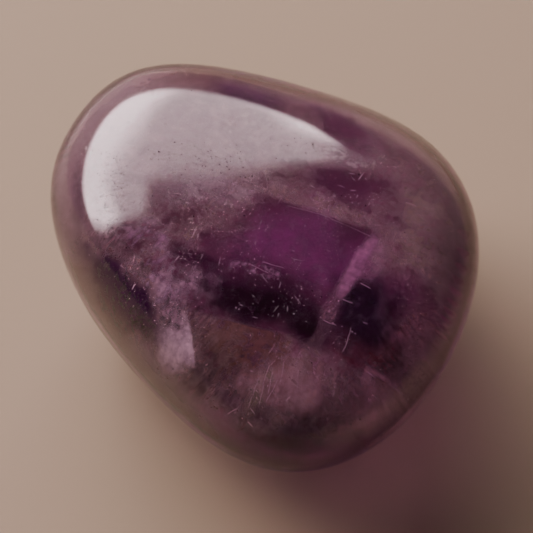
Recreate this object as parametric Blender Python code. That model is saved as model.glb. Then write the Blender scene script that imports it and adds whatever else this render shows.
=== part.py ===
"""Tumbled amethyst: one smooth, rounded pebble of purple quartz.

A tumbled stone starts as a broken lump. Grit in a turning barrel wears its faces nearly
flat and its edges round. The pebble is modelled the same way: a flattened ball is ground
by a set of worn faces, and one value says how tightly the stone still turns from one face
to the next.

Units are metres and +Z is up. The origin is the middle of the stone's outline seen from
above, on the surface that the stone rests on.
"""
import math

import bmesh
import bpy
from mathutils import Vector, noise

MM = 0.001

# ---- Driving dimensions: millimetres and degrees ------------------------------------------

STONE_NAME = "tumbled_amethyst"

# The tumbling has brought the lump close to a flattened ball of these half sizes.
BALL_HALF_WIDTH = 17.5
BALL_HALF_HEIGHT = 10.5

# Each worn face: the compass bearing that it faces (0 is +X, 90 is +Y), how far it tilts
# upward from level, and how far it lies from the heart of the stone.
WORN_FACES = (
    # name                bearing  tilt  distance
    ("right end",              15,   -5,     15.8),
    ("back, upper",            80,   20,     14.4),
    ("back, lower",            80,   -5,     14.5),
    ("left end",              155,  -15,     14.6),
    ("left front",            215,   -5,     11.9),
    ("front right",           340,  -20,     15.8),
    ("crown",                   0,   90,      8.5),
    ("crown, front",          275,   75,      8.9),
    ("crown, left",           175,   70,     13.1),
    ("back shoulder",          55,   55,     10.2),
    ("left front shoulder",   215,   45,     14.7),
    ("left front keel",       230,  -60,     13.4),
    ("underside",               0,  -90,     10.7),
)
EDGE_TIGHTNESS = 6.0      # past 20, the edges between the faces would look cut
REST_WEAR = 0.15          # the lowest point is worn away by this much, into a flat
RIPPLE_HEIGHT = 0.06      # slow unevenness that the barrel leaves on every face
RIPPLE_LENGTH = 9.0       # from one high spot of it to the next
CELLS_PER_SIDE = 24       # cells along each side of the cube that becomes the ball

AMETHYST_COLOUR = (0.16, 0.055, 0.19, 1.0)
AMETHYST_ROUGHNESS = 0.08
AMETHYST_CLEARNESS = 0.85  # the share of light that enters and passes through
QUARTZ_IOR = 1.544


# ---- The stone's surface ------------------------------------------------------------------

def face_normal(bearing, tilt):
    """The outward direction of a worn face, from its bearing and its upward tilt."""
    around = math.radians(bearing)
    upward = math.radians(tilt)
    level = math.cos(upward)
    return Vector((level * math.cos(around), level * math.sin(around), math.sin(upward)))


FACE_PLANES = tuple((face_normal(bearing, tilt), distance)
                    for _name, bearing, tilt, distance in WORN_FACES)


def surface_distance(direction):
    """How far the worn surface lies from the heart of the stone along a direction, in mm.

    A ball with these faces cut on it would end where the largest of the terms reaches 1.
    Adding their high powers instead rounds every edge and corner between the faces.
    """
    sideways = math.hypot(direction.x, direction.y)
    toward_ball = math.hypot(sideways / BALL_HALF_WIDTH, direction.z / BALL_HALF_HEIGHT)
    total = toward_ball ** EDGE_TIGHTNESS
    for normal, distance in FACE_PLANES:
        toward_face = direction.dot(normal)
        if toward_face > 0.0:
            total += (toward_face / distance) ** EDGE_TIGHTNESS
    return total ** (-1.0 / EDGE_TIGHTNESS)


def surface_point(direction):
    """The point of the worn surface along a direction, with its slow unevenness, in mm."""
    smooth_point = direction * surface_distance(direction)
    ripple = RIPPLE_HEIGHT * noise.noise(smooth_point / RIPPLE_LENGTH)
    return smooth_point + direction * ripple


def ball_direction(cube_point):
    """Turn a point of the cube from -1 to 1 into a direction, with cells of even angle."""
    half_side_angle = math.pi / 4.0
    spread = [math.tan(value * half_side_angle) for value in cube_point]
    return Vector(spread).normalized()


# ---- Building it --------------------------------------------------------------------------

def clear_scene():
    """Remove whatever the scene opens with."""
    for scene_object in list(bpy.data.objects):
        bpy.data.objects.remove(scene_object, do_unlink=True)


def amethyst_material():
    """Polished purple quartz: clear, with a glassy surface."""
    material = bpy.data.materials.new("polished_amethyst")
    material.use_nodes = True
    surface = material.node_tree.nodes["Principled BSDF"]
    surface.inputs["Base Color"].default_value = AMETHYST_COLOUR
    surface.inputs["Roughness"].default_value = AMETHYST_ROUGHNESS
    surface.inputs["Metallic"].default_value = 0.0
    surface.inputs["IOR"].default_value = QUARTZ_IOR
    surface.inputs["Transmission Weight"].default_value = AMETHYST_CLEARNESS
    material.diffuse_color = AMETHYST_COLOUR
    return material


def wear_flat_and_centre(points):
    """Wear the lowest point flat, then bring the footprint's middle to the origin."""
    rest_height = min(point.z for point in points) + REST_WEAR
    for point in points:
        point.z = max(point.z, rest_height)
    middle_x = (min(point.x for point in points) + max(point.x for point in points)) / 2.0
    middle_y = (min(point.y for point in points) + max(point.y for point in points)) / 2.0
    to_origin = Vector((middle_x, middle_y, rest_height))
    return [point - to_origin for point in points]


def build_stone(collection):
    """The whole pebble, as one closed body."""
    bpy.ops.mesh.primitive_cube_add(size=2.0)  # corners at -1 and 1, for ball_direction
    stone = bpy.context.object
    stone.name = STONE_NAME
    stone.data.name = STONE_NAME
    for other in stone.users_collection:
        other.objects.unlink(stone)
    collection.objects.link(stone)

    shape = bmesh.new()
    shape.from_mesh(stone.data)
    bmesh.ops.subdivide_edges(
        shape, edges=shape.edges[:], cuts=CELLS_PER_SIDE - 1, use_grid_fill=True)
    worn_points = [surface_point(ball_direction(vertex.co)) for vertex in shape.verts]
    for vertex, point in zip(shape.verts, wear_flat_and_centre(worn_points)):
        vertex.co = point * MM
    shape.to_mesh(stone.data)
    shape.free()

    stone.data.shade_smooth()
    stone.data.materials.append(amethyst_material())
    return stone


clear_scene()
part_collection = bpy.data.collections.new(STONE_NAME)
bpy.context.scene.collection.children.link(part_collection)
build_stone(part_collection)
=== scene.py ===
"""A tumbled amethyst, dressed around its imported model.

The pebble is one piece of quartz. What is seen inside it grew there: milky films of healed
cracks in many tints, fine needles, specks and hairline cracks. Lengths are stated in
millimetres, and MM turns them into the metres that every mesh is made in.
"""
import math

import bmesh
import bpy
from mathutils import Matrix, Vector, noise
from mathutils.bvhtree import BVHTree


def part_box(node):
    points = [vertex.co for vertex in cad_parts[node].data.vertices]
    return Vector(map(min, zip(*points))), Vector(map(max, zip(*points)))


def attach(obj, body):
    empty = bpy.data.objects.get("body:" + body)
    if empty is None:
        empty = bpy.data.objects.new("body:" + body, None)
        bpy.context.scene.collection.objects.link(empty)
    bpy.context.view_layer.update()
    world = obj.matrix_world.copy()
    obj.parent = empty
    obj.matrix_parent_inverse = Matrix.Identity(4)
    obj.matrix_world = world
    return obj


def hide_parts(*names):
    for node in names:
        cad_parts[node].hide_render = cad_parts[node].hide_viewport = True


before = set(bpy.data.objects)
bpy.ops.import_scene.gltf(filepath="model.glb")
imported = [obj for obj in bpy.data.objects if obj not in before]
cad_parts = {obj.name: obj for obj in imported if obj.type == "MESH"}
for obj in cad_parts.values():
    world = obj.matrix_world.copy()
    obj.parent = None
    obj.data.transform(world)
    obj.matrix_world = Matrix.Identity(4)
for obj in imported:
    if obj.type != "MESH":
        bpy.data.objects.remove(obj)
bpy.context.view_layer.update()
MM = 0.001


# ---- Camera -------------------------------------------------------------------------------
# A long lens looks down on the stone from its narrow end. What is seen in the stone is
# placed below by where it shows in the camera's square frame, so the camera comes first.

CAMERA_RISE = math.radians(52.0)
CAMERA_DISTANCE = 190.0 * MM
CAMERA_AIM = Vector((0.2, -0.1, 9.1)) * MM
VIEW_WIDTH = 34.9 * MM            # what the frame holds across, at the aim point
FRAME_PIXELS = 533.0
SENSOR_WIDTH = 36.0               # the lens is stated in these millimetres too
NEAREST_SEEN = 0.01               # in metres

toward_camera = Vector((0.0, -math.cos(CAMERA_RISE), math.sin(CAMERA_RISE)))
frame_right = Vector((1.0, 0.0, 0.0))
frame_up = toward_camera.cross(frame_right)
camera_place = CAMERA_AIM + toward_camera * CAMERA_DISTANCE

camera_data = bpy.data.cameras.new("camera")
camera_data.sensor_width = SENSOR_WIDTH
camera_data.lens = SENSOR_WIDTH * CAMERA_DISTANCE / VIEW_WIDTH
camera_data.clip_start = NEAREST_SEEN
camera = bpy.data.objects.new("camera", camera_data)
camera.location = camera_place
camera.rotation_euler = toward_camera.to_track_quat("Z", "Y").to_euler()
bpy.context.scene.collection.objects.link(camera)
bpy.context.scene.camera = camera


# ---- The stone ----------------------------------------------------------------------------
# One pebble of purple quartz, broken from a geode and tumbled with grit until its faces were
# nearly flat and its edges round, then polished. It is a flattened ball ground by the same
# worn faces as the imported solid, in cells fine enough for a smooth polish.

STONE_NODE = "tumbled_amethyst"
BALL_HALF_WIDTH = 17.5
BALL_HALF_HEIGHT = 10.5
WORN_FACES = (
    # name                bearing  tilt  distance from the heart
    ("right end",              15,   -5,     15.8),
    ("back, upper",            80,   20,     14.4),
    ("back, lower",            80,   -5,     14.5),
    ("left end",              155,  -15,     14.6),
    ("left front",            215,   -5,     11.9),
    ("front right",           340,  -20,     15.8),
    ("crown",                   0,   90,      8.5),
    ("crown, front",          275,   75,      8.9),
    ("crown, left",           175,   70,     13.1),
    ("back shoulder",          55,   55,     10.2),
    ("left front shoulder",   215,   45,     14.7),
    ("left front keel",       230,  -60,     13.4),
    ("underside",               0,  -90,     10.7),
)
EDGE_TIGHTNESS = 6.0
REST_WEAR = 0.15
CELLS_PER_SIDE = 110
QUARTZ_IOR = 1.544


def add_node(tree, kind, options=None, feed=None):
    """Add a node, set its options, and feed its inputs: a socket is linked, a value is set."""
    node = tree.nodes.new(kind)
    for name, value in (options or {}).items():
        setattr(node, name, value)
    for name, value in (feed or {}).items():
        socket = node.inputs[name]
        if isinstance(value, bpy.types.NodeSocket):
            tree.links.new(value, socket)
        else:
            socket.default_value = value
    return node


def figure(tree, operation, *values):
    """One arithmetic step of a node tree, as its result socket."""
    return add_node(tree, "ShaderNodeMath", {"operation": operation},
                    dict(enumerate(values))).outputs[0]


def new_geometry_tree(name, inputs):
    """An empty Geometry Nodes tree with named inputs: name, socket type, value."""
    tree = bpy.data.node_groups.new(name, "GeometryNodeTree")
    tree.interface.new_socket("Geometry", in_out="INPUT", socket_type="NodeSocketGeometry")
    for label, socket_type, value in inputs:
        socket = tree.interface.new_socket(label, in_out="INPUT", socket_type=socket_type)
        if value is not None:
            socket.default_value = value
    tree.interface.new_socket("Geometry", in_out="OUTPUT", socket_type="NodeSocketGeometry")
    return tree, tree.nodes.new("NodeGroupInput").outputs, tree.nodes.new("NodeGroupOutput")


def run_tree(tree, name, values, start_mesh=None):
    """Run a tree on an object of its own, and return the result as a plain mesh object."""
    holder = bpy.data.objects.new(name, start_mesh or bpy.data.meshes.new(name))
    bpy.context.scene.collection.objects.link(holder)
    modifier = holder.modifiers.new(name, "NODES")
    modifier.node_group = tree
    for item in tree.interface.items_tree:
        if item.item_type == "SOCKET" and item.in_out == "INPUT" and item.name in values:
            modifier[item.identifier] = values[item.name]
    evaluated = holder.evaluated_get(bpy.context.evaluated_depsgraph_get())
    mesh = bpy.data.meshes.new_from_object(evaluated)
    holder.modifiers.clear()
    bpy.data.objects.remove(holder)
    piece = bpy.data.objects.new(name, mesh)
    bpy.context.scene.collection.objects.link(piece)
    return piece


def face_normal(bearing, tilt):
    """The outward direction of a worn face, from its bearing and upward tilt in degrees."""
    around = math.radians(bearing)
    upward = math.radians(tilt)
    level = math.cos(upward)
    return Vector((level * math.cos(around), level * math.sin(around), math.sin(upward)))


def tumbled_body_tree():
    """Geometry Nodes that grind a ball of even cells down to the worn faces."""
    tree, given, result = new_geometry_tree("tumbled body", (
        ("Cells Per Side", "NodeSocketInt", CELLS_PER_SIDE),
        ("Ball Half Width", "NodeSocketFloat", BALL_HALF_WIDTH),
        ("Ball Half Height", "NodeSocketFloat", BALL_HALF_HEIGHT),
        ("Edge Tightness", "NodeSocketFloat", EDGE_TIGHTNESS),
        ("Rest Wear", "NodeSocketFloat", REST_WEAR),
        ("Material", "NodeSocketMaterial", None),
    ))
    points_per_side = figure(tree, "ADD", given["Cells Per Side"], 1)
    cube = add_node(tree, "GeometryNodeMeshCube", feed={
        "Size": (2.0, 2.0, 2.0), "Vertices X": points_per_side,
        "Vertices Y": points_per_side, "Vertices Z": points_per_side})
    cube_point = add_node(tree, "ShaderNodeSeparateXYZ", feed={
        0: add_node(tree, "GeometryNodeInputPosition").outputs[0]})
    spread = [figure(tree, "TANGENT", figure(tree, "MULTIPLY", axis, math.pi / 4.0))
              for axis in cube_point.outputs]
    direction = add_node(tree, "ShaderNodeVectorMath", {"operation": "NORMALIZE"}, {
        0: add_node(tree, "ShaderNodeCombineXYZ", feed=dict(enumerate(spread))).outputs[0]})
    direction = direction.outputs[0]

    ball_size = add_node(tree, "ShaderNodeCombineXYZ", feed={
        0: given["Ball Half Width"], 1: given["Ball Half Width"],
        2: given["Ball Half Height"]})
    toward_ball = add_node(tree, "ShaderNodeVectorMath", {"operation": "DIVIDE"}, {
        0: direction, 1: ball_size.outputs[0]})
    reach = add_node(tree, "ShaderNodeVectorMath", {"operation": "LENGTH"}, {
        0: toward_ball.outputs[0]}).outputs["Value"]
    total = figure(tree, "POWER", reach, given["Edge Tightness"])
    for _name, bearing, tilt, distance in WORN_FACES:
        toward_face = add_node(tree, "ShaderNodeVectorMath", {"operation": "DOT_PRODUCT"}, {
            0: direction, 1: face_normal(bearing, tilt) / distance}).outputs["Value"]
        pressed = figure(tree, "MAXIMUM", toward_face, 0.0)
        total = figure(tree, "ADD", total,
                       figure(tree, "POWER", pressed, given["Edge Tightness"]))
    root = figure(tree, "DIVIDE", -1.0, given["Edge Tightness"])
    distance_mm = figure(tree, "POWER", total, root)
    worn_point = add_node(tree, "ShaderNodeVectorMath", {"operation": "SCALE"}, {
        0: direction, "Scale": distance_mm})
    worn = add_node(tree, "GeometryNodeSetPosition", feed={
        "Geometry": cube.outputs["Mesh"], "Position": worn_point.outputs[0]})

    place = add_node(tree, "ShaderNodeSeparateXYZ", feed={
        0: add_node(tree, "GeometryNodeInputPosition").outputs[0]})
    heights = add_node(tree, "GeometryNodeAttributeStatistic", feed={
        "Geometry": worn.outputs["Geometry"], "Attribute": place.outputs["Z"]})
    rest_height = figure(tree, "ADD", heights.outputs["Min"], given["Rest Wear"])
    rested = add_node(tree, "ShaderNodeCombineXYZ", feed={
        0: place.outputs["X"], 1: place.outputs["Y"],
        2: figure(tree, "MAXIMUM", place.outputs["Z"], rest_height)})
    flat_based = add_node(tree, "GeometryNodeSetPosition", feed={
        "Geometry": worn.outputs["Geometry"], "Position": rested.outputs[0]})
    smooth = add_node(tree, "GeometryNodeSetShadeSmooth", feed={
        "Geometry": flat_based.outputs["Geometry"]})
    real = add_node(tree, "GeometryNodeRealizeInstances", feed={
        "Geometry": smooth.outputs["Geometry"]})
    dressed = add_node(tree, "GeometryNodeSetMaterial", feed={
        "Geometry": real.outputs["Geometry"], "Material": given["Material"]})
    tree.links.new(dressed.outputs["Geometry"], result.inputs[0])
    return tree


def new_material(name):
    """A material with an empty node tree, its Principled shader and its output."""
    material = bpy.data.materials.new(name)
    material.use_nodes = True
    tree = material.node_tree
    return material, tree, tree.nodes["Principled BSDF"], tree.nodes["Material Output"]


PIT_WIDTH = 0.16           # shallow pits left by the tumbling, in loose clusters
PIT_DEPTH = 0.015
PIT_CLUSTER = 2.6
PIT_DETAIL = 1.0
PIT_PEAKS = (0.64, 0.68)   # the noise that starts a pit, and that is its floor
CLUSTER_PEAKS = (0.50, 0.60)
POLISH_ROUGHNESS = 0.08
QUARTZ_TINT = (0.97, 0.94, 0.98, 1.0)
DEPTH_PURPLE = (0.54, 0.16, 0.54, 1.0)
DEPTH_DENSITY = 85.0       # to a metre of quartz


def pitted(tree, place, width, peaks):
    """Noise cut off so that only its peaks are left, from 0 to 1."""
    grain = add_node(tree, "ShaderNodeTexNoise", feed={
        "Vector": place, "Scale": 1.0 / (width * MM), "Detail": PIT_DETAIL}).outputs[0]
    return add_node(tree, "ShaderNodeMapRange", feed={
        "Value": grain, "From Min": peaks[0], "From Max": peaks[1]}).outputs[0]


def polished_quartz():
    """Clear polished quartz that takes its purple from what the light passes through."""
    material, tree, surface, output = new_material("polished amethyst")
    place = add_node(tree, "ShaderNodeTexCoord").outputs["Object"]
    pits = figure(tree, "MULTIPLY", pitted(tree, place, PIT_WIDTH, PIT_PEAKS),
                  pitted(tree, place, PIT_CLUSTER, CLUSTER_PEAKS))
    pit_relief = add_node(tree, "ShaderNodeBump", {"invert": True}, {
        "Height": pits, "Distance": PIT_DEPTH * MM})
    tree.links.new(pit_relief.outputs["Normal"], surface.inputs["Normal"])
    surface.inputs["Base Color"].default_value = QUARTZ_TINT
    surface.inputs["IOR"].default_value = QUARTZ_IOR
    surface.inputs["Transmission Weight"].default_value = 1.0
    surface.inputs["Roughness"].default_value = POLISH_ROUGHNESS
    depth_colour = add_node(tree, "ShaderNodeVolumeAbsorption", feed={
        "Color": DEPTH_PURPLE, "Density": DEPTH_DENSITY})
    tree.links.new(depth_colour.outputs["Volume"], output.inputs["Volume"])
    return material


stone = run_tree(tumbled_body_tree(), "amethyst_pebble", {
    "Cells Per Side": CELLS_PER_SIDE, "Ball Half Width": BALL_HALF_WIDTH,
    "Ball Half Height": BALL_HALF_HEIGHT, "Edge Tightness": EDGE_TIGHTNESS,
    "Rest Wear": REST_WEAR, "Material": polished_quartz()})
solid_low, solid_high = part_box(STONE_NODE)
stone_points = [vertex.co * MM for vertex in stone.data.vertices]
stone_low = Vector(min(point[axis] for point in stone_points) for axis in range(3))
stone_high = Vector(max(point[axis] for point in stone_points) for axis in range(3))
to_solid = (solid_low + solid_high - stone_low - stone_high) / 2.0
to_solid.z = solid_low.z - stone_low.z
stone.data.transform(Matrix.Translation(to_solid) @ Matrix.Scale(MM, 4))
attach(stone, "root")
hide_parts(STONE_NODE)


# ---- Milky films --------------------------------------------------------------------------
# The crystal cracked again and again as it grew, and each crack healed, leaving a film of
# fluid bubbles that looks milky. Three such films cross the stone, one above another, and
# the deepest is nearly opaque. Its dark root shows where the milk above it is thin.

JUST_INSIDE = 0.01         # where a sight line is taken up again, past the polish

stone_surface = BVHTree.FromPolygons([vertex.co.copy() for vertex in stone.data.vertices],
                                     [tuple(face.vertices) for face in stone.data.polygons])


def bent_into_quartz(direction, normal):
    """The direction of a sight line once it has entered the stone through a surface."""
    ratio = 1.0 / QUARTZ_IOR
    facing = -direction.dot(normal)
    sideways_squared = ratio * ratio * (1.0 - facing * facing)
    return direction * ratio + normal * (ratio * facing - math.sqrt(1.0 - sideways_squared))


def sight_line(pixel):
    """Follow a point of the camera's frame into the stone.

    Gives where the line enters the stone, its direction inside, and how much quartz it
    crosses before it comes out. Gives None where the frame shows no stone.
    """
    across, down = ((value / FRAME_PIXELS - 0.5) * VIEW_WIDTH for value in pixel)
    aimed_at = CAMERA_AIM + frame_right * across - frame_up * down
    direction = (aimed_at - camera_place).normalized()
    entry, normal, _index, _distance = stone_surface.ray_cast(camera_place, direction)
    if entry is None:
        return None
    inward = bent_into_quartz(direction, normal)
    start = entry + inward * JUST_INSIDE * MM
    leave, _normal, _index, crossed = stone_surface.ray_cast(start, inward)
    return (entry, inward, crossed) if leave else None


def add_piece(name, mesh, material):
    """Make an object of a finished mesh that rides with the stone."""
    mesh.shade_smooth()
    mesh.materials.append(material)
    piece = bpy.data.objects.new(name, mesh)
    bpy.context.scene.collection.objects.link(piece)
    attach(piece, "root")


VEIL_CELLS = 180           # along each side of a film
VEIL_REACH = 0.985         # how near to the stone's outline a film comes, as a share
HEART_PIXEL = (266.0, 262.0)
DRIFT = 1.3                # how far the edge of a wide cloud wanders from its plain outline
DRIFTING_SIZE = 1.8        # a cloud smaller than this wanders less
DRIFT_LENGTH = 3.0
DRIFT_CHOICE = 4           # which way the noise sends it; never 0, which differs every run
FRAY = 0.32                # how far noise eats into a cloud's edge, as a share of its size
FRAY_LENGTH = 1.8
FRAY_DETAIL = (0.8, 2.0, 5)   # how its finer noise fades, how much finer each is, how many
CLOUD_REACH = 1.5          # a wide cloud is gone at this share of its size
CRISP_EDGE = 0.22          # how soft a cloud is along a side where it stops at a crack
CRISP_DRIFT = 0.25         # how much of the drift such a side keeps
PAST_CRISP_EDGE = 2.2      # how far the cloud would have gone on past it
RIM_FADE = 0.02            # a film ends over this share of the way from the outline
CURD_FADE = 0.25           # curds smooth out over this share of the way from the outline
CURD_SIZES = ((2.5, 1.0), (1.0, 0.9), (0.35, 0.9))   # share of a film's curds, weight
CURD_DETAIL = 4.0
CURD_ROUGHNESS = 0.6
CURD_STRENGTH = 2.0
FIBRE_SHARE = 0.5          # how much of a film's unevenness is fibres
FIBRE_LENGTH = 4.0
FIBRE_WIDTH = 0.3
FIBRE_DETAIL = 2.0
FIBRE_ROUGHNESS = 0.5
MEAN_NOISE = 0.5           # noise runs from 0 to 1 about this

noise.seed_set(DRIFT_CHOICE)

# What a film is made of: how milky it is and how curdled, from 0 to 1, and its colour
CLEAR = (0.02, 0.26, (0.34, 0.21, 0.28))
THIN = (0.12, 0.6, (0.42, 0.27, 0.34))
SMOKE = (0.24, 0.5, (0.46, 0.35, 0.32))
LILAC_MILK = (0.68, 0.45, (0.80, 0.66, 0.70))
PINK_MILK = (0.62, 0.4, (0.78, 0.52, 0.63))
FADED_PINK = (0.46, 0.5, (0.60, 0.42, 0.48))
PALE_HAZE = (0.61, 0.5, (0.72, 0.58, 0.48))
GREY_MILK = (0.50, 0.6, (0.31, 0.28, 0.20))
ASH_MILK = (0.40, 0.3, (0.50, 0.43, 0.43))
MAUVE_MILK = (0.32, 1.3, (0.50, 0.37, 0.46))
LILAC_HAZE = (0.36, 0.9, (0.46, 0.34, 0.39))
LILAC_WISPS = (0.22, 1.5, (0.62, 0.46, 0.54))
ROSY_MILK = (0.46, 0.5, (0.52, 0.35, 0.31))
DUSTY_MILK = (0.40, 0.6, (0.38, 0.28, 0.26))
BROWN_MILK = (0.75, 0.4, (0.22, 0.150, 0.105))
BROWN_SMOKE = (0.08, 0.4, (0.34, 0.26, 0.18))
# The pale rim milk is a painted reflection; the dark and brown rim milks below are painted
# shade.
PALE_RIM_REFLECTION = (0.40, 0.4, (0.64, 0.52, 0.48))
DULL_MAUVE = (0.36, 0.4, (0.42, 0.30, 0.31))
DARK_RIM_SHADE = (0.92, 0.1, (0.06, 0.012, 0.014))
BROWN_RIM_SHADE = (0.70, 0.3, (0.16, 0.09, 0.07))
PAINTED_DARK_LINE = (0.50, 0.3, (0.22, 0.15, 0.17))
PURPLE_HEART = (0.90, 0.2, (0.40, 0.155, 0.31))
MAUVE_ROOT = (0.90, 0.2, (0.30, 0.14, 0.20))
DEEP_ROOT = (0.92, 0.2, (0.24, 0.11, 0.15))
DARK_ROOT = (0.97, 0.1, (0.042, 0.008, 0.030))
RED_ROOT = (0.95, 0.2, (0.12, 0.012, 0.018))
INDIGO_SHADE = (0.94, 0.2, (0.045, 0.005, 0.045))
WINE_ROOT = (0.94, 0.2, (0.17, 0.05, 0.12))
BELT_SHADE_ROOT = (0.94, 0.2, (0.13, 0.04, 0.09))
VIOLET_ROOT = (0.92, 0.2, (0.20, 0.08, 0.19))
RED_SHADE = (0.66, 0.3, (0.12, 0.022, 0.030))
INDIGO_BLOCK = (0.62, 0.3, (0.035, 0.010, 0.045))

# Windows in the milk, where the stone's deep colour shows: name, where it shows in the frame,
# half width and half height in mm, lean in degrees, its crisp sides, what the root is there
WINDOWS = (
    ("tail of the heart",  (228, 258), 2.8, 1.5, -14, "", MAUVE_ROOT),
    ("purple heart",       (308, 254), 4.2, 2.9, -17, "top right", PURPLE_HEART),
    ("start of the belt",  (196, 258), 1.9, 0.6, -30, "", BELT_SHADE_ROOT),
    ("above the belt",     (262, 291), 4.6, 1.3, -16, "", BELT_SHADE_ROOT),
    ("dark belt",          (258, 308), 4.0, 1.2, -15, "bottom", DARK_ROOT),
    ("end of the belt",    (311, 330), 1.8, 1.1, -30, "", DARK_ROOT),
    ("purple shoulder",    (404, 304), 2.0, 1.8, -20, "", WINE_ROOT),
    ("dark red patch",     (379, 344), 2.5, 2.1, -30, "bottom", RED_ROOT),
    ("dark block",         (368, 316), 2.2, 2.4, -23, "left", DARK_ROOT),
    ("toe",                (276, 446), 3.2, 0.9,  -5, "", WINE_ROOT),
    ("upper dark window",  (345, 186), 2.2, 1.0, -15, "", MAUVE_ROOT),
    ("top patch",          (244,  92), 2.2, 0.8, -14, "", VIOLET_ROOT),
    ("upper right patch",  (342, 124), 2.4, 1.0, -36, "", MAUVE_ROOT),
)
# The milk around the windows, in the middle film and in the shallow one
MIDDLE_HAZE = (
    ("right haze",        (430, 220), 2.8, 4.6,  10, "", GREY_MILK),
    ("left cloud",        (160, 262), 3.0, 2.8,  20, "", MAUVE_MILK),
    ("upper right",       (380, 200), 1.6, 2.4,  10, "", THIN),
    ("lower right",       (396, 392), 3.2, 1.9,  42, "", PALE_HAZE),
    ("right flank",       (444, 318), 1.5, 2.8, -12, "", ROSY_MILK),
    ("low centre",        (270, 388), 3.4, 1.6,   5, "", PALE_HAZE),
    ("lower left patch",  (216, 410), 1.4, 0.9,   0, "", THIN),
    ("brown window",      (247, 347), 2.9, 1.8,  -5, "right top", BROWN_MILK),
)
SHALLOW_HAZE = (
    ("upper cloud",       (215, 190), 4.4, 1.0,   0, "", ASH_MILK),
    ("upper ash",         (352, 146), 1.8, 1.4, -30, "", ASH_MILK),
    ("over brown window", (245, 345), 2.6, 1.6,  -5, "", BROWN_SMOKE),
    ("streak cloud",      (264, 390), 1.6, 0.7,  60, "", GREY_MILK),
    ("left wisps",        (192, 284), 1.6, 1.2,  30, "", LILAC_HAZE),
)
# Crisp and small patches that lie over the windows
MIDDLE_PATCHES = (
    ("left dark spot",    (188, 232), 1.4, 1.0,  10, "", THIN),
    ("middle dark spot",  (202, 268), 1.6, 0.8, -20, "", THIN),
    ("dark red shade",    (381, 352), 2.2, 1.4, -30, "bottom", RED_SHADE),
    ("dark block shade",  (363, 313), 1.7, 2.1, -23, "left", INDIGO_BLOCK),
    ("haze by the heart", (371, 258), 0.9, 1.6, -35, "left", FADED_PINK),
    ("wisps by the belt", (254, 270), 1.9, 0.4, -12, "", LILAC_WISPS),
    ("pink band, lower",  (316, 344), 2.2, 0.5,  65, "", GREY_MILK),
    ("pink band, middle", (332, 308), 2.4, 0.40, 66, "", DULL_MAUVE),
    ("pink band, upper",  (355, 267), 2.3, 0.42, 60, "", PINK_MILK),
)
SHALLOW_PATCHES = (
    ("band over heart",   (316, 206), 4.6, 0.4, -19, "bottom", DUSTY_MILK),
    ("lilac patch",       (176, 342), 1.1, 2.0,   8, "right", LILAC_MILK),
    ("over lilac patch",  (168, 296), 1.1, 2.2,  15, "", LILAC_HAZE),
    # The left dark line is a painted dark reflection, running beside the mirrored window.
    ("left dark line",    (77, 200), 0.35, 2.8,  2, "", PAINTED_DARK_LINE),
    # The left deep band is partly the stone's own deep purple and partly painted shade, made
    # near black.
    ("left deep band",    (114, 288), 1.4, 4.4,  36, "", INDIGO_SHADE),
    ("rim notch",         (450, 346), 0.3, 0.9, -22, "left top", BROWN_SMOKE),
)
# The shallow film's rim, painted by which way it faces: a pale painted reflection on the upper
# left, toward the window, and painted shade, dark or brown, round the rest. The direction round
# the outline in degrees, counted from the right side over the top, how far in the rim reaches,
# as a share of the way to the heart, its milk
PAINTED_RIM_SHADING = (
    (0, 0.10, BROWN_RIM_SHADE),
    (20, 0.08, DARK_RIM_SHADE),
    (60, 0.10, DARK_RIM_SHADE),
    (98, 0.14, DARK_RIM_SHADE),
    (112, 0.18, BROWN_RIM_SHADE),
    (130, 0.18, PALE_RIM_REFLECTION),
    (150, 0.14, PALE_RIM_REFLECTION),
    (170, 0.10, DULL_MAUVE),
    (182, 0.20, DARK_RIM_SHADE),
    (205, 0.26, DARK_RIM_SHADE),
    (225, 0.18, DARK_RIM_SHADE),
    (260, 0.16, DARK_RIM_SHADE),
    (285, 0.10, BROWN_RIM_SHADE),
    (320, 0.17, BROWN_RIM_SHADE),
    (340, 0.10, BROWN_RIM_SHADE),
    (360, 0.10, BROWN_RIM_SHADE),
)


def eased(share):
    """A share held between 0 and 1, with an eased start and end."""
    held = min(max(share, 0.0), 1.0)
    return held * held * (3.0 - 2.0 * held)


def frame_place(pixel):
    """Where a pixel of the frame is, in millimetres across and up from its middle."""
    return Vector(((pixel[0] / FRAME_PIXELS - 0.5) * VIEW_WIDTH / MM,
                   (0.5 - pixel[1] / FRAME_PIXELS) * VIEW_WIDTH / MM))


def inside_cloud(place, drift, fray, cloud, may_be_crisp):
    """How far inside a cloud a place in the frame is, from 0 outside it to 1 well inside."""
    _name, pixel, half_width, half_height, lean, crisp_sides, _film = cloud
    unlean = Matrix.Rotation(math.radians(-lean), 2)
    drift = drift * min(min(half_width, half_height) / DRIFTING_SIZE, 1.0)
    offset = unlean @ (place + drift - frame_place(pixel))
    steady = unlean @ (place + drift * CRISP_DRIFT - frame_place(pixel))
    shares = [offset.x / half_width, offset.y / half_height]
    kept = 1.0
    for side, axis, way, half in (("left", 0, -1.0, half_width), ("right", 0, 1.0, half_width),
                                  ("bottom", 1, -1.0, half_height),
                                  ("top", 1, 1.0, half_height)):
        if side in crisp_sides and may_be_crisp:
            kept *= eased((half - steady[axis] * way) / CRISP_EDGE + 0.5)
            if offset[axis] * way > 0.0:
                shares[axis] /= PAST_CRISP_EDGE
    return eased(CLOUD_REACH - math.hypot(*shares) - fray) * kept


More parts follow.
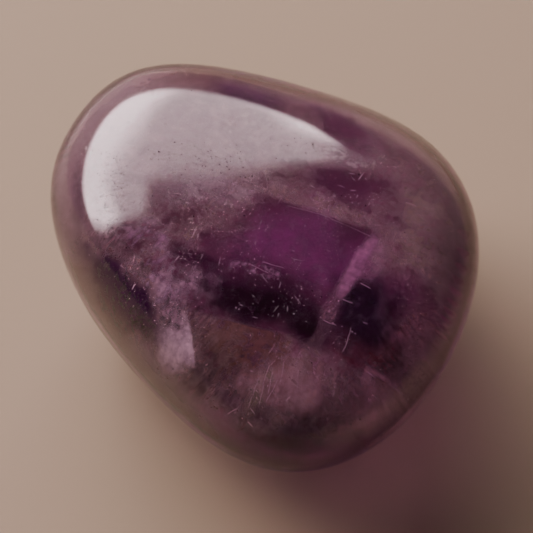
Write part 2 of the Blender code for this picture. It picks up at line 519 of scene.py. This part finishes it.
def film_at(pixel, drift_seed, plain_film, clouds, may_be_crisp):
    """What a film is made of at a pixel of the frame: milk, curds and colour."""
    place = frame_place(pixel)
    at = Vector((*place, drift_seed))
    drift = noise.noise_vector(at / DRIFT_LENGTH).to_2d() * DRIFT
    fray = noise.fractal(at / FRAY_LENGTH, *FRAY_DETAIL) * FRAY
    milk, curds, colour = plain_film
    made_of = Vector((milk, curds, *colour))
    for cloud in clouds:
        level = inside_cloud(place, drift, fray, cloud, may_be_crisp)
        if level:
            cloud_milk, cloud_curds, cloud_colour = cloud[-1]
            made_of = made_of.lerp(Vector((cloud_milk, cloud_curds, *cloud_colour)), level)
    return made_of


def rimmed(made_of, pixel, from_rim, rim):
    """What a film is made of once its rim, with any painted reflection and shade, is taken into
    account.
    """
    around = math.degrees(math.atan2(HEART_PIXEL[1] - pixel[1], pixel[0] - HEART_PIXEL[0])) % 360
    for first, second in zip(rim, rim[1:]):
        if first[0] <= around < second[0]:
            along = (around - first[0]) / (second[0] - first[0])
            width = first[1] + (second[1] - first[1]) * along
            first_film, second_film = (Vector((milk, curds, *colour))
                                       for milk, curds, colour in (first[2], second[2]))
            return first_film.lerp(second_film, along).lerp(made_of, eased(from_rim / width))
    return made_of


def fibres(tree, place, lean):
    """Noise drawn out into fibres that lean by an angle across the camera's view."""
    across_view = Matrix((frame_right, frame_up, toward_camera)).transposed()
    turned = across_view @ Matrix.Rotation(math.radians(lean), 3, "Z")
    along = add_node(tree, "ShaderNodeMapping", {"vector_type": "TEXTURE"}, {
        "Vector": place, "Rotation": turned.to_euler(),
        "Scale": (FIBRE_LENGTH * MM, FIBRE_WIDTH * MM, FIBRE_WIDTH * MM)})
    return add_node(tree, "ShaderNodeTexNoise", feed={
        "Vector": along.outputs[0], "Scale": 1.0, "Detail": FIBRE_DETAIL,
        "Roughness": FIBRE_ROUGHNESS}).outputs[0]


def milky_film(name, curd_length, fibre_leans):
    """Healed-crack film: its own milk and colour, broken up by fine curds and fibres."""
    material, tree, surface, output = new_material(name)
    place = add_node(tree, "ShaderNodeTexCoord").outputs["Object"]
    thickness = 0.0
    for size, weight in CURD_SIZES:
        curd = add_node(tree, "ShaderNodeTexNoise", feed={
            "Vector": place, "Scale": 1.0 / (curd_length * size * MM),
            "Detail": CURD_DETAIL, "Roughness": CURD_ROUGHNESS}).outputs[0]
        swell = figure(tree, "SUBTRACT", curd, MEAN_NOISE)
        thickness = figure(tree, "MULTIPLY_ADD", swell, weight, thickness)
    for lean in fibre_leans:
        thread = figure(tree, "SUBTRACT", fibres(tree, place, lean), MEAN_NOISE)
        thickness = figure(tree, "MULTIPLY_ADD", thread, FIBRE_SHARE, thickness)
    milk = add_node(tree, "ShaderNodeAttribute", {"attribute_name": "milk"}).outputs["Fac"]
    curds = add_node(tree, "ShaderNodeAttribute", {"attribute_name": "curds"}).outputs["Fac"]
    tone = add_node(tree, "ShaderNodeCombineColor", feed={
        channel: add_node(tree, "ShaderNodeAttribute", {"attribute_name": layer}).outputs["Fac"]
        for channel, layer in (("Red", "red"), ("Green", "green"), ("Blue", "blue"))})
    unevenness = figure(tree, "MULTIPLY", thickness, CURD_STRENGTH)
    curdled = figure(tree, "MULTIPLY_ADD", unevenness, curds, milk)
    tree.links.new(figure(tree, "MAXIMUM", curdled, 0.0), surface.inputs["Alpha"])
    tree.links.new(tone.outputs["Color"], surface.inputs["Base Color"])
    surface.inputs["Roughness"].default_value = 1.0
    surface.inputs["Specular IOR Level"].default_value = 0.0
    return material


OUTLINE_STEPS = 360
OUTLINE_ERROR = 0.1        # in pixels


def outline_reach(around):
    """How far the stone's outline is from its middle in the frame, in pixels."""
    shown, past = 0.0, FRAME_PIXELS / 2.0
    while past - shown > OUTLINE_ERROR:
        middle = (shown + past) / 2.0
        pixel = (HEART_PIXEL[0] + middle * math.cos(around),
                 HEART_PIXEL[1] - middle * math.sin(around))
        if sight_line(pixel):
            shown = middle
        else:
            past = middle
    return shown


outline = [outline_reach(math.tau * step / OUTLINE_STEPS) for step in range(OUTLINE_STEPS)]


def frame_pixel(across, upward):
    """The frame's pixel for a place on a round film, whose rim lies on the outline."""
    around = math.atan2(upward, across) % math.tau / math.tau * OUTLINE_STEPS
    step = int(around)
    before, after = outline[step % OUTLINE_STEPS], outline[(step + 1) % OUTLINE_STEPS]
    reach = (before + (after - before) * (around - step)) * VEIL_REACH
    return (HEART_PIXEL[0] + reach * across, HEART_PIXEL[1] - reach * upward)


def film_mesh(name, cells, share, layers, layers_at):
    """A film across the whole stone, at a share of the quartz under each sight line.

    The layers are attributes of its points. Their values come from a function of the frame's
    pixel and of how far that is from the stone's outline, as a share of the way to its heart.
    """
    shape = bmesh.new()
    rows = []
    values = []
    for row in range(cells + 1):
        v = 2.0 * row / cells - 1.0
        rows.append([])
        for column in range(cells + 1):
            u = 2.0 * column / cells - 1.0
            across = u * math.sqrt(1.0 - v * v / 2.0)
            upward = v * math.sqrt(1.0 - u * u / 2.0)
            pixel = frame_pixel(across, upward)
            entry, inward, crossed = sight_line(pixel)
            rows[-1].append(shape.verts.new(entry + inward * crossed * share))
            values.append(layers_at(pixel, 1.0 - math.hypot(across, upward)))
    for lower, upper in zip(rows, rows[1:]):
        for column in range(cells):
            shape.faces.new((lower[column], lower[column + 1],
                             upper[column + 1], upper[column]))
    mesh = bpy.data.meshes.new(name)
    shape.to_mesh(mesh)
    shape.free()
    for layer, layer_values in zip(layers, zip(*values)):
        attribute = mesh.attributes.new(layer, "FLOAT", "POINT")
        attribute.data.foreach_set("value", layer_values)
    return mesh


def add_veil(name, share, drift_seed, rim, plain_film, clouds, may_be_crisp, material):
    """Add one film, milky where its clouds are."""
    def layers_at(pixel, from_rim):
        made_of = film_at(pixel, drift_seed, plain_film, clouds, may_be_crisp)
        milk, curds, red, green, blue = rimmed(made_of, pixel, from_rim, rim)
        return (milk * eased(from_rim / RIM_FADE), curds * eased(from_rim / CURD_FADE),
                red, green, blue)
    layers = ("milk", "curds", "red", "green", "blue")
    add_piece(name, film_mesh(name, VEIL_CELLS, share, layers, layers_at), material)


# How deep each film lies, as a share of the quartz under it, and the seed of its drift
DEEP = (0.80, 3.0)
MIDDLE = (0.40, 7.0)
SHALLOW = (0.13, 11.0)
# How long each film's curds are, and how its fibres lean in degrees
DEEP_GRAIN = (3.0, ())
MIDDLE_GRAIN = (1.6, (-25, 70))
SHALLOW_GRAIN = (1.0, (75, -40))

deep_film = milky_film("milky film, deep", *DEEP_GRAIN)
middle_film = milky_film("milky film, middle", *MIDDLE_GRAIN)
shallow_film = milky_film("milky film, shallow", *SHALLOW_GRAIN)
clear_windows = tuple(window[:-1] + (CLEAR,) for window in WINDOWS)
add_veil("deep_veil", *DEEP, (), DEEP_ROOT, WINDOWS, False, deep_film)
add_veil("middle_veil", *MIDDLE, (), DUSTY_MILK,
         MIDDLE_HAZE + clear_windows + MIDDLE_PATCHES, True, middle_film)
add_veil("shallow_veil", *SHALLOW, PAINTED_RIM_SHADING, SMOKE,
         SHALLOW_HAZE + clear_windows + SHALLOW_PATCHES, True, shallow_film)


# ---- Needles and specks -------------------------------------------------------------------
# Fine mineral needles and specks lie in the healed films, just under the polish. They are
# far thinner than a millimetre, and glint pale against the purple.

NEEDLE_SHEET_CELLS = 60
SPARSE_NEEDLES = 0.04      # how dense they are outside their clouds
NEEDLE_TILT = 0.5          # how far one leans toward the camera or away, in radians
NEEDLE_SHORTNESS = 3.0     # the higher, the fewer long ones
NEEDLE_THICKNESSES = (0.5, 1.2)   # the thinnest and the thickest, as shares
NEEDLE_COLOUR = (0.92, 0.80, 0.84, 1.0)
NEEDLE_ROUGHNESS = 0.6
# name, sheet, seed, how many to a square metre, shortest, longest, thickness, lean, spread
NEEDLE_KINDS = (
    ("rising_needles",  0.06, 11, 0.7e6, 0.08, 0.9,  0.034,  62, 25),
    ("falling_needles", 0.10, 12, 0.6e6, 0.08, 0.9,  0.032, -30, 25),
    ("specks",          0.04, 13, 0.8e6, 0.04, 0.10, 0.062,   0, 90),
)
# name, where it shows, half width and half height in mm, lean, crisp sides, how dense
NEEDLE_CLOUDS = (
    ("over the purple",   (300, 245), 4.2, 2.6, -17, "", 0.6),
    ("left of the heart", (205, 235), 2.6, 1.8,  10, "", 1.3),
    ("along the belt",    (285, 305), 5.0, 1.6, -17, "", 1.1),
    ("upper dark window", (350, 190), 2.4, 1.2, -20, "", 1.0),
    ("below the belt",    (270, 385), 2.6, 2.0,  60, "", 0.6),
    ("left rim",          (120, 300), 1.6, 4.5,  32, "", 0.15),
)


def dense_in(clouds, sparse):
    """How dense things are at a pixel of the frame: as its clouds say, or else sparse."""
    def density_at(pixel, from_rim):
        place = frame_place(pixel)
        density = max(inside_cloud(place, Vector((0.0, 0.0)), 0.0, cloud, False) * cloud[-1]
                      for cloud in clouds)
        return (max(density, sparse) * eased(from_rim / CURD_FADE),)
    return density_at


def needles_tree():
    """Geometry Nodes that strew thin spindles over a sheet, where it is dense with them."""
    tree, given, result = new_geometry_tree("needles", (
        ("Seed", "NodeSocketInt", 1),
        ("Needles Per Area", "NodeSocketFloat", 1.0e6),
        ("Shortest", "NodeSocketFloat", 0.1 * MM),
        ("Longest", "NodeSocketFloat", 0.9 * MM),
        ("Thickness", "NodeSocketFloat", 0.02 * MM),
        ("Lean", "NodeSocketFloat", 0.0),
        ("Lean Spread", "NodeSocketFloat", 0.3),
        ("Material", "NodeSocketMaterial", None),
    ))
    density = add_node(tree, "GeometryNodeInputNamedAttribute", feed={"Name": "density"})
    points = add_node(tree, "GeometryNodeDistributePointsOnFaces", feed={
        "Mesh": given["Geometry"], "Seed": given["Seed"],
        "Density": figure(tree, "MULTIPLY", density.outputs["Attribute"],
                          given["Needles Per Area"])})

    def chance(offset, low, high):
        return add_node(tree, "FunctionNodeRandomValue", {"data_type": "FLOAT"}, {
            2: low, 3: high, "Seed": figure(tree, "ADD", given["Seed"], offset)}).outputs[1]

    lean = chance(1, figure(tree, "SUBTRACT", given["Lean"], given["Lean Spread"]),
                  figure(tree, "ADD", given["Lean"], given["Lean Spread"]))
    in_view = Matrix((frame_right, frame_up, toward_camera)).transposed().to_euler()
    turned = add_node(tree, "FunctionNodeRotateRotation", {"rotation_space": "LOCAL"}, {
        0: add_node(tree, "FunctionNodeEulerToRotation", feed={0: in_view}).outputs[0],
        1: add_node(tree, "FunctionNodeEulerToRotation", feed={
            0: add_node(tree, "ShaderNodeCombineXYZ", feed={
                1: chance(2, -NEEDLE_TILT, NEEDLE_TILT), 2: lean}).outputs[0]}).outputs[0]})
    short_or_long = figure(tree, "POWER", chance(3, 0.0, 1.0), NEEDLE_SHORTNESS)
    length = add_node(tree, "ShaderNodeMapRange", feed={
        "Value": short_or_long, "To Min": given["Shortest"],
        "To Max": given["Longest"]}).outputs[0]
    thickness = figure(tree, "MULTIPLY", given["Thickness"],
                       chance(4, *NEEDLE_THICKNESSES))
    spindle = add_node(tree, "GeometryNodeMeshIcoSphere", feed={"Radius": 0.5,
                                                                "Subdivisions": 1})
    needles = add_node(tree, "GeometryNodeInstanceOnPoints", feed={
        "Points": points.outputs["Points"], "Instance": spindle.outputs["Mesh"],
        "Rotation": turned.outputs[0], "Scale": add_node(tree, "ShaderNodeCombineXYZ", feed={
            0: length, 1: thickness, 2: thickness}).outputs[0]})
    real = add_node(tree, "GeometryNodeRealizeInstances", feed={
        "Geometry": needles.outputs["Instances"]})
    dressed = add_node(tree, "GeometryNodeSetMaterial", feed={
        "Geometry": real.outputs["Geometry"], "Material": given["Material"]})
    tree.links.new(dressed.outputs["Geometry"], result.inputs[0])
    return tree


def pale_needle():
    """Pale mineral in the stone's needles and specks."""
    material, tree, surface, output = new_material("pale needle")
    surface.inputs["Base Color"].default_value = NEEDLE_COLOUR
    surface.inputs["Roughness"].default_value = NEEDLE_ROUGHNESS
    return material


needle_material = pale_needle()
needle_growth = needles_tree()
for name, share, seed, per_area, shortest, longest, thickness, lean, spread in NEEDLE_KINDS:
    sheet = film_mesh(name, NEEDLE_SHEET_CELLS, share, ("density",),
                      dense_in(NEEDLE_CLOUDS, SPARSE_NEEDLES))
    needles = run_tree(needle_growth, name, {
        "Seed": seed, "Needles Per Area": per_area, "Shortest": shortest * MM,
        "Longest": longest * MM, "Thickness": thickness * MM, "Lean": math.radians(lean),
        "Lean Spread": math.radians(spread), "Material": needle_material}, sheet)
    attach(needles, "root")


# ---- Hairline cracks ----------------------------------------------------------------------
# A few cracks in the crystal healed with a pale thread along them, finer than a hair and
# slightly crooked. They lie among the needles.

HAIRLINE_SHARE = 0.08      # how deep they lie, as a share of the quartz under them
HAIRLINE_POINTS = 14
HAIRLINE_THICKNESS = 0.008
HAIRLINE_SIDES = 5
HAIRLINE_WANDER = 0.06     # how crooked they are
HAIRLINE_BEND = 0.6        # how far apart their bends are
BLUNT_END = 0.1            # how thick the ends are, as a share of the middle
# where each shows in the frame, from end to end
HAIRLINES = (
    ((351, 328), (343, 352)),
    ((343, 299), (353, 303)),
    ((360, 283), (371, 289)),
    ((323, 320), (336, 325)),
    ((258, 378), (248, 408)),
    ((278, 380), (266, 402)),
    ((269, 366), (263, 385)),
    ((273, 372), (268, 394)),
    ((264, 386), (259, 405)),
    ((284, 362), (281, 382)),
    ((298, 370), (297, 387)),
    ((276, 343), (270, 352)),
    ((238, 408), (228, 414)),
    ((262, 262), (284, 268)),
    ((250, 264), (268, 273)),
    ((192, 238), (197, 226)),
    ((288, 206), (330, 217)),
    ((330, 218), (370, 236)),
)


def hairline_paths():
    """The hairlines as crooked chains of edges."""
    shape = bmesh.new()
    for ends in HAIRLINES:
        start, end = (Vector(pixel) for pixel in ends)
        before = None
        for step in range(HAIRLINE_POINTS):
            entry, inward, crossed = sight_line(start.lerp(end, step / (HAIRLINE_POINTS - 1)))
            point = entry + inward * crossed * HAIRLINE_SHARE
            crook = noise.noise_vector(point / (HAIRLINE_BEND * MM)) * HAIRLINE_WANDER * MM
            vertex = shape.verts.new(point + crook)
            if before:
                shape.edges.new((before, vertex))
            before = vertex
    mesh = bpy.data.meshes.new("hairlines")
    shape.to_mesh(mesh)
    shape.free()
    return mesh


def hairlines_tree():
    """Geometry Nodes that turn chains of edges into threads, thin at both ends."""
    tree, given, result = new_geometry_tree("hairlines", (
        ("Thickness", "NodeSocketFloat", HAIRLINE_THICKNESS * MM),
        ("Sides", "NodeSocketInt", HAIRLINE_SIDES),
        ("Material", "NodeSocketMaterial", None),
    ))
    curves = add_node(tree, "GeometryNodeMeshToCurve", feed={"Mesh": given["Geometry"]})
    along = add_node(tree, "GeometryNodeSplineParameter").outputs["Factor"]
    fullness = figure(tree, "SINE", figure(tree, "MULTIPLY", along, math.pi))
    tapered = add_node(tree, "GeometryNodeSetCurveRadius", feed={
        "Curve": curves.outputs["Curve"],
        "Radius": figure(tree, "MAXIMUM", fullness, BLUNT_END)})
    ring = add_node(tree, "GeometryNodeCurvePrimitiveCircle", feed={
        "Resolution": given["Sides"], "Radius": given["Thickness"]})
    threads = add_node(tree, "GeometryNodeCurveToMesh", feed={
        "Curve": tapered.outputs["Curve"], "Profile Curve": ring.outputs["Curve"],
        "Fill Caps": True})
    real = add_node(tree, "GeometryNodeRealizeInstances", feed={
        "Geometry": threads.outputs["Mesh"]})
    dressed = add_node(tree, "GeometryNodeSetMaterial", feed={
        "Geometry": real.outputs["Geometry"], "Material": given["Material"]})
    tree.links.new(dressed.outputs["Geometry"], result.inputs[0])
    return tree


hairlines = run_tree(hairlines_tree(), "hairlines", {
    "Thickness": HAIRLINE_THICKNESS * MM, "Sides": HAIRLINE_SIDES,
    "Material": needle_material}, hairline_paths())
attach(hairlines, "root")


# ---- Painted shade in the pits ------------------------------------------------------------
# Tumbling left open pits in the polish, a tenth of a millimetre across. Near-black flecks sit in
# them as painted shade, so they show as dark dots where the stone mirrors the window.

PIT_SHEET_CELLS = 80
PIT_SEED = 21
PITS_PER_AREA = 0.9e7      # to a square metre
SPARSE_PITS = 0.01         # how dense they are outside their clouds
# The flecks are painted shade, not dirt: near black, laid where the stone mirrors the window.
PIT_SHADE_LENGTHS = (0.08, 0.16)
PIT_SHADE_THICKNESS = 0.115
PIT_SHADE_COLOUR = (0.02, 0.012, 0.016, 1.0)
PIT_SHADE_ROUGHNESS = 0.9
PIT_SHADE_GLOSS = 0.1
PIT_CLOUDS = (
    ("left side of the light",  (110, 190), 1.0, 2.4,   0, "", 0.9),
    ("lower edge of the light", (205, 160), 3.0, 1.0,  -8, "", 0.5),
    ("right of the light",      (290, 140), 2.4, 0.8, -15, "", 0.2),
)


def pit_shade_flecks():
    """Near-black flecks: painted shade where a pit breaks up the stone's mirrored window."""
    material, tree, surface, output = new_material("painted pit shade")
    surface.inputs["Base Color"].default_value = PIT_SHADE_COLOUR
    surface.inputs["Roughness"].default_value = PIT_SHADE_ROUGHNESS
    surface.inputs["Specular IOR Level"].default_value = PIT_SHADE_GLOSS
    return material


# Painted shade: dark flecks strewn mostly where the window is mirrored.
polished_skin = film_mesh("pits", PIT_SHEET_CELLS, 0.0, ("density",),
                          dense_in(PIT_CLOUDS, SPARSE_PITS))
pits = run_tree(needle_growth, "pits", {
    "Seed": PIT_SEED, "Needles Per Area": PITS_PER_AREA, "Shortest": PIT_SHADE_LENGTHS[0] * MM,
    "Longest": PIT_SHADE_LENGTHS[1] * MM, "Thickness": PIT_SHADE_THICKNESS * MM, "Lean": 0.0,
    "Lean Spread": math.pi / 2.0, "Material": pit_shade_flecks()}, polished_skin)
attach(pits, "root")


# ---- The table and the light --------------------------------------------------------------
# A plain pale surface under the stone, one large soft window behind it to the left, and a
# dim room whose far walls are a little brighter.

TABLE_SIZE = 1.6
TABLE_GAP = 0.02           # keeps the stone's flat and the table apart
TABLE_COLOUR = (0.25, 0.205, 0.13, 1.0)
TABLE_ROUGHNESS = 0.75

bpy.ops.mesh.primitive_plane_add(size=TABLE_SIZE, location=(0.0, 0.0, -TABLE_GAP * MM))
table = bpy.context.object
table.name = "table"
table_material, tree, surface, output = new_material("pale table")
surface.inputs["Base Color"].default_value = TABLE_COLOUR
surface.inputs["Roughness"].default_value = TABLE_ROUGHNESS
table.data.materials.append(table_material)

WINDOW_DISTANCE = 0.6
WINDOW_CELLS = 24
WINDOW_BRIGHTNESS = 8.7
CLEAR_PANE = 2.45          # how bright the clear lower part of the window is
SHEER_PANE = 0.76          # and its upper part, behind a sheer curtain
PANE_SOFTNESS = 15.0       # how gradually one gives way to the other, in degrees
SIDE_SOFTNESS = (2.5, 9.0)        # at its first bearing and at its last, in degrees
SILL_SOFTNESS = 4.5
WINDOW_COLOUR = (1.0, 0.775, 0.82, 1.0)
# The window seen from the stone, in degrees: bearing, rise of its sill, rise where the sheer
# curtain begins, rise of its head, softness of its head
WINDOW_OUTLINE = (
    (73.0, 30.0, 48.0, 40.0, 2.5),
    (76.0, 23.5, 38.0, 46.5, 3.0),
    (79.0, 22.0, 24.0, 51.5, 4.0),
    (84.0, 22.5, 22.0, 57.0, 6.0),
    (92.0, 22.5, 18.0, 62.0, 7.0),
    (102.0, 22.0, 31.0, 63.0, 8.0),
    (112.0, 20.5, 41.0, 62.0, 8.0),
    (121.0, 21.0, 44.0, 60.0, 6.0),
    (128.0, 23.0, 45.5, 61.5, 4.0),
    (137.0, 24.5, 46.0, 63.0, 3.5),
    (148.0, 25.0, 47.0, 60.0, 4.0),
    (158.0, 22.0, 49.0, 54.5, 5.0),
    (166.0, 19.0, 51.0, 47.5, 6.5),
    (172.0, 15.0, 55.0, 38.0, 7.0),
    (177.0, 12.0, 55.0, 29.0, 6.0),
)
FIRST_BEARING = WINDOW_OUTLINE[0][0]
LAST_BEARING = WINDOW_OUTLINE[-1][0]


def window_at(bearing):
    """The window's outline at a bearing, between the places given."""
    for first, second in zip(WINDOW_OUTLINE, WINDOW_OUTLINE[1:]):
        if bearing <= second[0]:
            break
    along = (bearing - first[0]) / (second[0] - first[0])
    return [start + (end - start) * along for start, end in zip(first[1:], second[1:])]


def window_glow_at(bearing, rise):
    """How bright the window is in a direction from the stone."""
    sill, curtain, head, head_softness = window_at(bearing)
    sheer = eased((rise - curtain) / PANE_SOFTNESS + 0.5)
    pane = CLEAR_PANE + (SHEER_PANE - CLEAR_PANE) * sheer
    return (WINDOW_BRIGHTNESS * pane * eased((rise - sill) / SILL_SOFTNESS)
            * eased((head - rise) / head_softness)
            * eased((bearing - FIRST_BEARING) / SIDE_SOFTNESS[0])
            * eased((LAST_BEARING - bearing) / SIDE_SOFTNESS[1]))


def window_sheet():
    """A curved soft box: the part of the sky around the stone that the window fills."""
    shape = bmesh.new()
    glows = []
    columns = []
    for column in range(WINDOW_CELLS + 1):
        bearing = FIRST_BEARING + (LAST_BEARING - FIRST_BEARING) * column / WINDOW_CELLS
        sill, _curtain, head, _softness = window_at(bearing)
        columns.append([])
        for row in range(WINDOW_CELLS + 1):
            rise = sill + (head - sill) * row / WINDOW_CELLS
            columns[-1].append(shape.verts.new(face_normal(bearing, rise) * WINDOW_DISTANCE))
            glows.append(window_glow_at(bearing, rise))
    for near, far in zip(columns, columns[1:]):
        for row in range(WINDOW_CELLS):
            shape.faces.new((near[row], near[row + 1], far[row + 1], far[row]))
    mesh = bpy.data.meshes.new("window")
    shape.to_mesh(mesh)
    shape.free()
    mesh.attributes.new("glow", "FLOAT", "POINT").data.foreach_set("value", glows)
    return mesh


window = bpy.data.objects.new("window", window_sheet())
bpy.context.scene.collection.objects.link(window)
window.visible_camera = False
window_material = bpy.data.materials.new("window light")
window_material.use_nodes = True
tree = window_material.node_tree
tree.nodes.clear()
glow = add_node(tree, "ShaderNodeAttribute", {"attribute_name": "glow"}).outputs["Fac"]
window_glow = add_node(tree, "ShaderNodeEmission", feed={
    "Color": WINDOW_COLOUR, "Strength": glow})
add_node(tree, "ShaderNodeOutputMaterial", feed={"Surface": window_glow.outputs[0]})
window.data.materials.append(window_material)

ROOM_BRIGHTNESS = 0.058
WALL_BRIGHTNESS = 0.16     # the far walls, down by the table
WALL_TOP = 0.22            # sine of the angle at which they fade into the dim room
ROOM_COLOUR = (1.0, 0.88, 0.83, 1.0)

room = bpy.data.worlds.new("room")
room.use_nodes = True
tree = room.node_tree
direction = add_node(tree, "ShaderNodeTexCoord").outputs["Generated"]
height = add_node(tree, "ShaderNodeSeparateXYZ", feed={0: direction}).outputs["Z"]
brightness = add_node(tree, "ShaderNodeMapRange", {"interpolation_type": "SMOOTHSTEP"}, {
    "Value": height, "From Max": WALL_TOP, "To Min": WALL_BRIGHTNESS,
    "To Max": ROOM_BRIGHTNESS}).outputs[0]
background = tree.nodes["Background"]
background.inputs["Color"].default_value = ROOM_COLOUR
tree.links.new(brightness, background.inputs["Strength"])
bpy.context.scene.world = room
